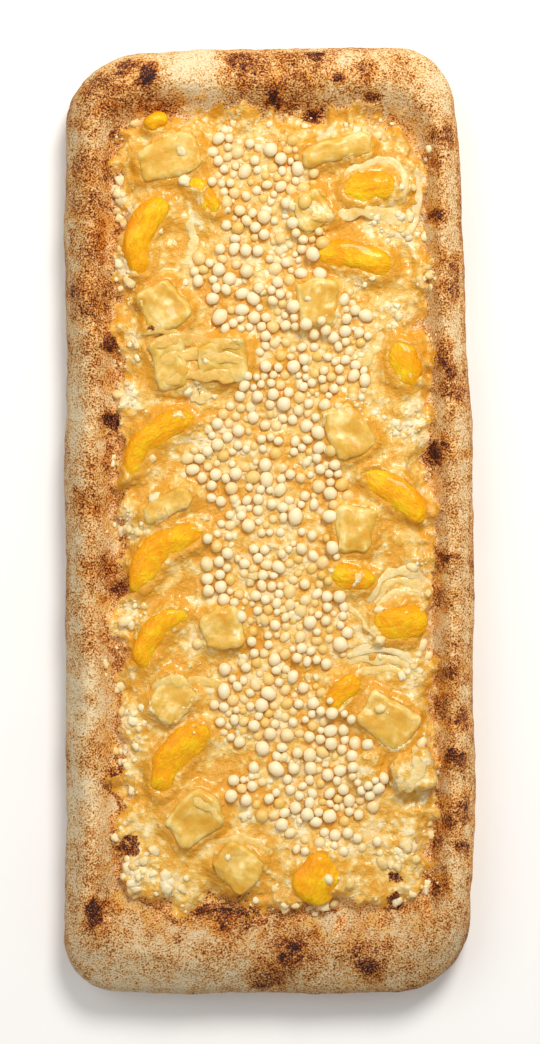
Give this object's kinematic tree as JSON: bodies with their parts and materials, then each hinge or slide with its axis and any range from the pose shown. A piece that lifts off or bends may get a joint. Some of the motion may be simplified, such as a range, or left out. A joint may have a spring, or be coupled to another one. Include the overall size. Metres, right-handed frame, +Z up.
{
  "type": "sweet pizza",
  "caption": "Rectangular baked sweet pizza with a raised browned rim, melted cream topping, strewn sugar pearls, peach slices and pineapple pieces.",
  "frame": {"origin": "on the table under the middle of the crust, at the bottom centre of the whole pizza", "axes": "+Y along the pizza's length, +X across it, +Z up out of the topping"},
  "size_m": [0.1492, 0.3418, 0.0244],
  "materials": {
    "baked_crust": "matt, floury baked bread crust, browned and scorched in spots",
    "melted_topping": "glossy melted cream and syrup with off-white sugar pearls",
    "peach": "wet, glossy, slightly translucent fruit flesh",
    "pineapple": "wet, glossy, fibrous fruit flesh"
  },
  "bodies": {
    "root": {"crust": "baked_crust", "topping": "melted_topping", "peach_slice_01": "peach", "peach_slice_02": "peach", "peach_slice_03": "peach", "peach_slice_04": "peach", "peach_slice_05": "peach", "peach_slice_06": "peach", "peach_slice_07": "peach", "peach_slice_08": "peach", "peach_slice_09": "peach", "peach_slice_10": "peach", "peach_slice_11": "peach", "peach_slice_12": "peach", "peach_slice_13": "peach", "peach_slice_14": "peach", "peach_slice_15": "peach", "peach_slice_16": "peach", "pineapple_piece_01": "pineapple", "pineapple_piece_02": "pineapple", "pineapple_piece_03": "pineapple", "pineapple_piece_04": "pineapple", "pineapple_piece_05": "pineapple", "pineapple_piece_06": "pineapple", "pineapple_piece_07": "pineapple", "pineapple_piece_08": "pineapple", "pineapple_piece_09": "pineapple", "pineapple_piece_10": "pineapple", "pineapple_piece_11": "pineapple", "pineapple_piece_12": "pineapple", "pineapple_piece_13": "pineapple", "pineapple_piece_14": "pineapple", "pineapple_piece_15": "pineapple", "pineapple_piece_16": "pineapple"}
  },
  "joints": []
}
